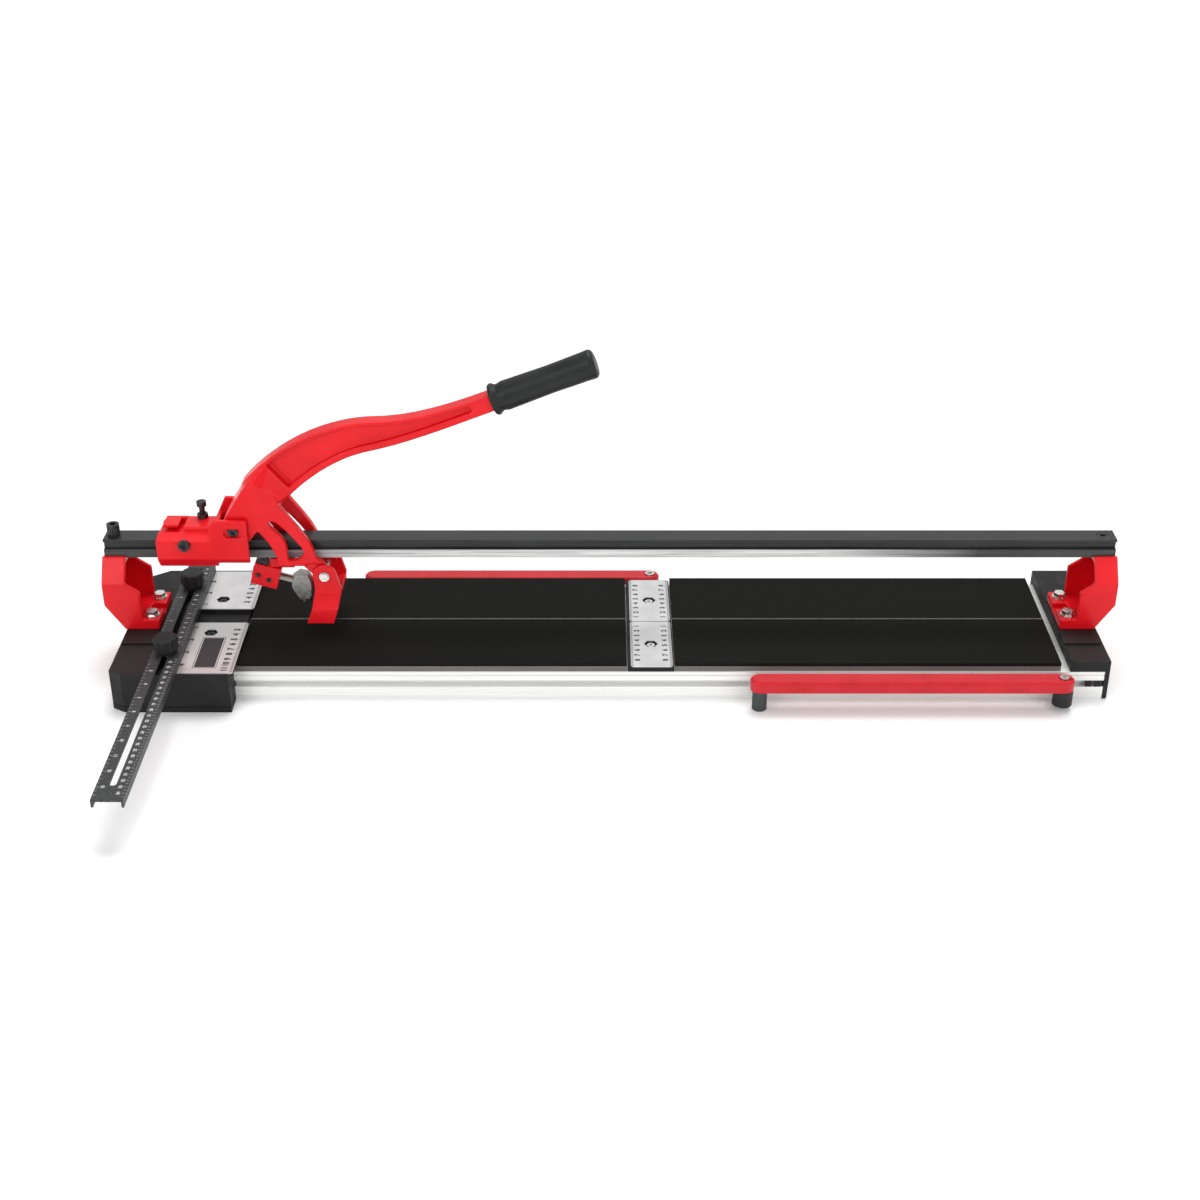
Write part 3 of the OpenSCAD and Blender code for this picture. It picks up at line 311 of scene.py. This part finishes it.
# One material for each slot of the record
MATERIALS = {
    "base_aluminium": aluminium("base_aluminium_drawn", (0.92, 0.92, 0.905)),
    "ridge_steel": bright_steel("ridge_steel", (0.16, 0.16, 0.15), 0.45, 120),
    "board": board_edge(),
    "pad_rubber": pad_rubber(),
    "block_plastic": moulded_plastic(
        "block_plastic", (0.007, 0.007, 0.0068), (0.014, 0.014, 0.014), grain=1500, rough=0.55
    ),
    "scale_plate": plate_metal(),
    "bolt_steel": bright_steel("zinc_steel", (0.80, 0.80, 0.78), 0.2, 320),
    "red_casting": red_paint("red_casting_paint", (0.68, 0.003, 0.008), (0.80, 0.006, 0.014), peel=520),
    "rail_paint": black_paint(
        "rail_black_paint", (0.014, 0.015, 0.015), (0.045, 0.048, 0.048), 0.12, highlight_below=RAIL_HIGHLIGHT_BELOW
    ),
    "black_oxide": black_oxide(),
    "fence_paint": black_paint(
        "fence_black_paint", (0.016, 0.0175, 0.018), (0.04, 0.042, 0.044), 0.05, speck=0.5
    ),
    "knob_plastic": moulded_plastic(
        "knob_plastic", (0.008, 0.008, 0.009), (0.022, 0.022, 0.023), grain=1200, rough=0.5
    ),
    "red_sheet": red_paint("red_sheet_paint", (0.50, 0.008, 0.016), (0.62, 0.014, 0.026), peel=420),
    "foot_rubber": moulded_plastic(
        "foot_rubber", (0.030, 0.035, 0.035), (0.065, 0.075, 0.075), grain=900, rough=0.6
    ),
    "head_steel": bright_steel("machined_steel", (0.46, 0.46, 0.44), 0.32, 240),
    "grip_rubber": grip_rubber(),
    "wheel_steel": bright_steel("wheel_carbide", (0.42, 0.42, 0.44), 0.24, 600),
}
INK = print_ink("printed_ink", (0.016, 0.016, 0.018))
WHITE_INK = print_ink("white_ink", (0.52, 0.52, 0.50))
PANEL_INK = print_ink("panel_ink", (0.026, 0.022, 0.026))


def set_material(obj, mat):
    obj.data.materials.clear()
    obj.data.materials.append(mat)


def new_piece(name, mesh, mat, body):
    """Links a mesh as a piece that rides on a body."""
    obj = bpy.data.objects.new(name, mesh)
    scene.collection.objects.link(obj)
    set_material(obj, mat)
    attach(obj, body)
    return obj


def apply_modifiers(obj):
    """Turns the object's modifiers into its mesh."""
    graph = bpy.context.evaluated_depsgraph_get()
    mesh = bpy.data.meshes.new_from_object(obj.evaluated_get(graph))
    obj.modifiers.clear()
    old = obj.data
    obj.data = mesh
    bpy.data.meshes.remove(old)


# ---- refined CAD shapes ----------------------------------------------------------------------------

SLOTS = {part["node"]: part["material_slot"] for part in frame["record"]["subparts"]}

WELD_DISTANCE = 0.001 * MM  # corners closer than this are one

# Nodes with rounded edges and soft inner corners: voxel size of the remesh in millimetres, smoothing steps
CASTINGS = {
    "handle": (0.75, 7),
    "slider_body": (0.6, 7),
    "left_rail_bracket": (0.7, 5),
    "right_rail_bracket": (0.7, 5),
    "breaker_foot": (0.5, 7),
    "wheel_holder_block": (0.4, 5),
    "front_support_arm": (0.6, 4),
    "rear_support_arm": (0.6, 4),
    "handle_grip": (0.6, 3),
    "fence_knob_front": (0.4, 4),
    "fence_knob_rear": (0.4, 4),
}


def cast(node, voxel_mm, steps):
    """Shows a dense copy of a CAD node, its edges rounded as a casting's are, in the node's place."""
    mesh = nodes[node].data.copy()
    obj = new_piece(node + "_cast", mesh, MATERIALS[SLOTS[node]], node_body[node])
    bm = bmesh.new()
    bm.from_mesh(mesh)
    bmesh.ops.remove_doubles(bm, verts=bm.verts, dist=WELD_DISTANCE)
    bm.to_mesh(mesh)
    bm.free()
    remesh = obj.modifiers.new("remesh", "REMESH")
    remesh.mode = "VOXEL"
    remesh.voxel_size = voxel_mm * MM
    smooth = obj.modifiers.new("smooth", "SMOOTH")
    smooth.factor = 0.5
    smooth.iterations = steps
    apply_modifiers(obj)
    for polygon in obj.data.polygons:
        polygon.use_smooth = True
    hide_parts(node)


# Width of the edge bevel in millimetres, for the nodes that keep their CAD mesh
BEVELS = {
    "rail": 0.5, "base_extrusion": 0.4, "left_end_block": 1.2, "right_end_cap": 1.0, "fence_rule": 0.5,
    "center_scale_block": 0.4, "wheel_holder_arm": 0.4,
}
DEFAULT_BEVEL = 0.25
SHARP_EDGE = math.radians(35)  # edges that turn by more than this get a bevel
FACET_EDGE = math.radians(14)  # the same for the faceted nodes
FACETED = {"wheel_holder_arm"}  # machined nodes whose shallow edges stay crisp
PAINTED_SHADE_BOLTS = {"left_scale_bolts"}  # bolts down in the windows of the left scale plates, given the dark black oxide as painted shade for their deep windows


def dress_node(node):
    """Gives a CAD node its material and a small real bevel along its hard edges."""
    obj = nodes[node]
    # bolts down in deep windows take the dark black oxide as painted shade in place of their own finish
    set_material(obj, MATERIALS["black_oxide" if node in PAINTED_SHADE_BOLTS else SLOTS[node]])
    for polygon in obj.data.polygons:
        polygon.use_smooth = True
    bevel = obj.modifiers.new("edge", "BEVEL")
    bevel.limit_method = "ANGLE"
    bevel.angle_limit = FACET_EDGE if node in FACETED else SHARP_EDGE
    bevel.width = BEVELS.get(node, DEFAULT_BEVEL) * MM
    bevel.segments = 2
    bevel.harden_normals = True


for name in nodes:
    if name in CASTINGS:
        cast(name, *CASTINGS[name])
    else:
        dress_node(name)


# ---- printed marks ---------------------------------------------------------------------------------

INK_HEIGHT = 0.03 * MM
INCH = 25.4 * MM
CM = 10 * MM
TICK_WIDTH = 0.35 * MM
TICK_LENGTHS = (0.55, 0.4, 0.28)  # whole, half and smaller divisions, as shares of the numbers' distance
NUMERAL_WEIGHT = 0.055  # how far a numeral's strokes are thickened, as a share of its size


class Print:
    """Printed marks on a level face, gathered into one thin mesh."""

    def __init__(self, z):
        self.bm = bmesh.new()
        self.z = z

    def bar(self, x, y, length, width):
        """A rectangle centred on (x, y), its length along X."""
        size = Matrix.Diagonal((length, width, INK_HEIGHT, 1))
        bmesh.ops.create_cube(self.bm, matrix=Matrix.Translation((x, y, self.z + INK_HEIGHT / 2)) @ size)

    def frame(self, low, high, line):
        """The outline of a rectangle."""
        x, y = (low[0] + high[0]) / 2, (low[1] + high[1]) / 2
        for edge in (low[1], high[1]):
            self.bar(x, edge, high[0] - low[0] + line, line)
        for edge in (low[0], high[0]):
            self.bar(edge, y, line, high[1] - low[1])

    def number(self, value, x, y, size):
        """A numeral that is read from the right end of the bed."""
        curve = bpy.data.curves.new("numeral", "FONT")
        curve.body = str(value)
        curve.size = size
        curve.align_x = "CENTER"
        curve.align_y = "CENTER"
        curve.resolution_u = 3
        curve.offset = size * NUMERAL_WEIGHT
        curve.extrude = INK_HEIGHT / 2
        holder = bpy.data.objects.new("numeral", curve)
        mesh = bpy.data.meshes.new_from_object(holder)
        quarter_turn = Matrix.Rotation(math.radians(90), 4, "Z")
        mesh.transform(Matrix.Translation((x, y, self.z + INK_HEIGHT / 2)) @ quarter_turn)
        self.bm.from_mesh(mesh)
        bpy.data.meshes.remove(mesh)
        bpy.data.objects.remove(holder)
        bpy.data.curves.remove(curve)

    def piece(self, name, mat, body):
        """Turns the gathered marks into one piece."""
        mesh = bpy.data.meshes.new(name)
        self.bm.to_mesh(mesh)
        self.bm.free()
        new_piece(name, mesh, mat, body)


def ruler(ink, edge_x, inward, low, high, unit, parts, size, gap, clear=()):
    """Ticks and numbers along an edge that runs in Y, counted both ways from the ridge at Y = 0.

    inward is the X direction from the edge onto the plate, parts the ticks per unit, gap the distance
    from the edge to the numbers, and clear lists (middle, half length) of stretches that stay empty.
    """
    step = unit / parts
    for i in range(math.ceil(low / step), math.floor(high / step) + 1):
        y = i * step
        if any(abs(y - middle) < half for middle, half in clear):
            continue
        whole = i % parts == 0
        rank = 0 if whole else 1 if 2 * i % parts == 0 else 2
        length = TICK_LENGTHS[rank] * gap
        ink.bar(edge_x + inward * length / 2, y, length, TICK_WIDTH)
        if whole and i and low + size / 2 < y < high - size / 2:
            ink.number(abs(i) // parts, edge_x + inward * gap, y, size)


def plate_marks(name):
    """Inch divisions along the left edge of a left scale plate and centimetres along its right edge."""
    low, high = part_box(name)
    ink = Print(high[2])
    inset = 0.8 * MM
    y0, y1 = low[1] + inset, high[1] - inset
    ruler(ink, high[0] - inset, -1, y0, y1, CM, 10, size=8.5 * MM, gap=8.5 * MM)
    ruler(ink, low[0] + inset, 1, y0, y1, INCH, 16, size=8 * MM, gap=7.5 * MM)
    ink.piece(name + "_marks", INK, "base")


def center_marks(name):
    """Centimetre divisions along both edges of a middle scale plate."""
    low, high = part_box(name)
    ink = Print(high[2])
    inset = 0.5 * MM
    y0, y1 = low[1] + inset, high[1] - inset
    for edge, inward in ((low[0] + inset, 1), (high[0] - inset, -1)):
        ruler(ink, edge, inward, y0, y1, CM, 10, size=7 * MM, gap=6.5 * MM)
    ink.piece(name + "_marks", INK, "base")


def fence_marks():
    """White inch divisions at the left of the fence's slot and centimetres at the right."""
    low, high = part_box("fence_rule")
    ink = Print(high[2])
    inset = 0.8 * MM
    margin = 2 * MM  # bare length beside the knobs and at both ends
    knobs = []
    for knob in ("fence_knob_front", "fence_knob_rear"):
        knob_low, knob_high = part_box(knob)
        knobs.append(((knob_low[1] + knob_high[1]) / 2, (knob_high[1] - knob_low[1]) / 2 + margin))
    y0, y1 = low[1] + margin, high[1] - margin
    for edge, inward, unit, parts in ((high[0] - inset, -1, CM, 2), (low[0] + inset, 1, INCH, 4)):
        ruler(ink, edge, inward, y0, y1, unit, parts, size=4.4 * MM, gap=6 * MM, clear=knobs)
    ink.piece("fence_marks", WHITE_INK, "fence")


def panel_marks():
    """A plain dark panel in a thin frame on the front plate."""
    low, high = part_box("left_scale_front")
    ink = Print(high[2])
    left, right, front, rear = 20 * MM, 18.5 * MM, 10 * MM, 31 * MM  # plate that shows around the frame
    margin = 1.4 * MM
    line = 0.6 * MM
    x0, x1 = low[0] + left, high[0] - right
    y0, y1 = low[1] + front, high[1] - rear
    ink.frame((x0, y0), (x1, y1), line)
    ink.bar((x0 + x1) / 2, (y0 + y1) / 2, x1 - x0 - 2 * margin, y1 - y0 - 2 * margin)
    ink.piece("front_plate_panel", PANEL_INK, "base")


plate_marks("left_scale_front")
plate_marks("left_scale_rear")
center_marks("center_scale_front")
center_marks("center_scale_rear")
fence_marks()
panel_marks()


# ---- camera, lights, floor -------------------------------------------------------------------------


def make_camera():
    """A long-lens view from the front, looking down on the bed."""
    data = bpy.data.cameras.new("camera")
    data.lens = 55.5
    data.sensor_width = 36.0
    camera = bpy.data.objects.new("camera", data)
    camera.location = (-0.0102, -1.7056, 0.9953)
    camera.rotation_euler = (math.radians(61.36), 0, 0)
    scene.collection.objects.link(camera)
    scene.camera = camera


def make_floor():
    """A wide pale floor with a soft, slightly uneven surface."""
    bm = bmesh.new()
    bmesh.ops.create_grid(bm, x_segments=24, y_segments=24, size=30.0)
    mesh = bpy.data.meshes.new("floor")
    bm.to_mesh(mesh)
    bm.free()
    floor = bpy.data.objects.new("floor", mesh)
    scene.collection.objects.link(floor)
    s = Surface("pale_floor", Specular_IOR_Level=0.3)
    s.color(s.ramp(s.noise(0.6, 3), [(0.3, (0.96, 0.96, 0.96)), (0.7, (0.98, 0.98, 0.98))]))
    s.roughness(s.spread(s.noise(2.0, 3), 0.55, 0.68))
    set_material(floor, s.mat)


def area_light(name, place, target, size, power):
    """A rectangular soft box that faces its target."""
    data = bpy.data.lights.new(name, "AREA")
    data.shape = "RECTANGLE"
    data.size, data.size_y = size
    data.energy = power
    light = bpy.data.objects.new(name, data)
    light.location = place
    light.rotation_euler = (Vector(target) - Vector(place)).to_track_quat("-Z", "Y").to_euler()
    scene.collection.objects.link(light)


def make_lights():
    """A studio, bright overhead and dimmer at the horizon, with a soft sun and three soft boxes."""
    world = bpy.data.worlds.new("studio")
    scene.world = world
    world.use_nodes = True
    tree = world.node_tree
    direction = tree.nodes.new("ShaderNodeTexCoord")
    split = tree.nodes.new("ShaderNodeSeparateXYZ")
    tree.links.new(direction.outputs["Generated"], split.inputs["Vector"])
    ramp = tree.nodes.new("ShaderNodeValToRGB")
    horizon, overhead = (0.05, 0.3), (0.8, 0.75)  # height of the direction, brightness
    for element, (height, level) in zip(ramp.color_ramp.elements, (horizon, overhead)):
        element.position = height
        element.color = (level, level, level, 1.0)
    tree.links.new(split.outputs["Z"], ramp.inputs["Fac"])
    tree.links.new(ramp.outputs["Color"], tree.nodes["Background"].inputs["Color"])
    sun = bpy.data.lights.new("overhead", "SUN")
    sun.energy = 1.4
    sun.angle = math.radians(28)
    lamp = bpy.data.objects.new("overhead", sun)
    lamp.rotation_euler = Vector((-0.12, -0.3, -1.0)).to_track_quat("-Z", "Y").to_euler()
    scene.collection.objects.link(lamp)
    area_light("back_softbox", (0.0, 2.4, 1.5), (0, 0, 0), (3.2, 0.9), 4)
    area_light("left_softbox", (-1.6, -1.8, 1.3), (-0.2, 0, 0.1), (1.2, 1.2), 20)
    area_light("right_softbox", (1.8, -1.8, 1.1), (0.1, 0, 0.1), (1.2, 1.2), 14)


make_camera()
make_floor()
make_lights()
scene.view_settings.view_transform = "Standard"
